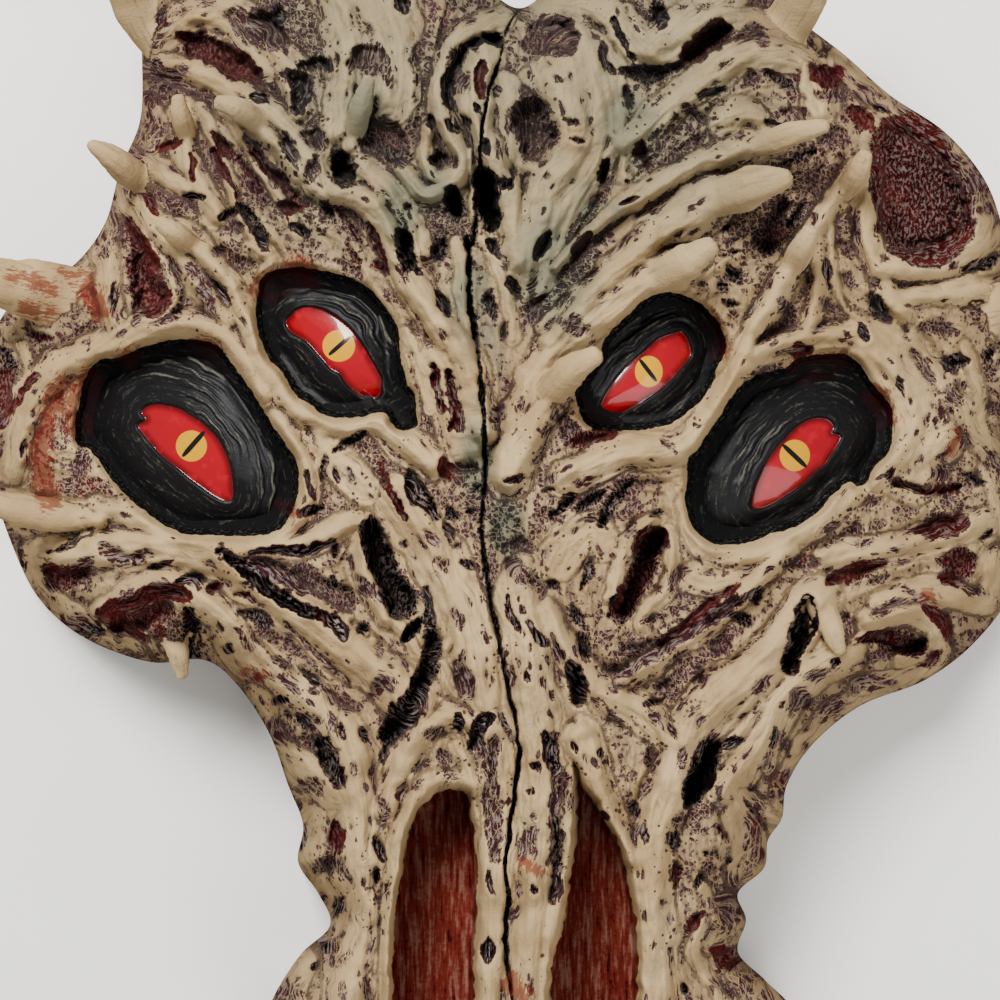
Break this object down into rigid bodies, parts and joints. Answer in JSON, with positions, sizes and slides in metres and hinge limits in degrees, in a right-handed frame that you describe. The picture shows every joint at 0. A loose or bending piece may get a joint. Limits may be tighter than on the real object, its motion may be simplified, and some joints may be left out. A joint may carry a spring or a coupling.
{
  "type": "demon mask",
  "caption": "Hollow demon face mask with bony ridges, spikes, horns, sunken bulging eyes and a long slotted jaw, lying face up on its open back rim.",
  "frame": {"origin": "centre of the mask's outline, in the plane of its back rim", "axes": "+Y from the jaw to the crown, +Z out of the face, +X to the right as the face is looked at"},
  "size_m": [0.3162, 0.3877, 0.1039],
  "materials": {
    "painted_cast": "bone paint over dark purple-brown pits, satin"
  },
  "bodies": {
    "root": {"demon_mask": "painted_cast"}
  },
  "joints": []
}
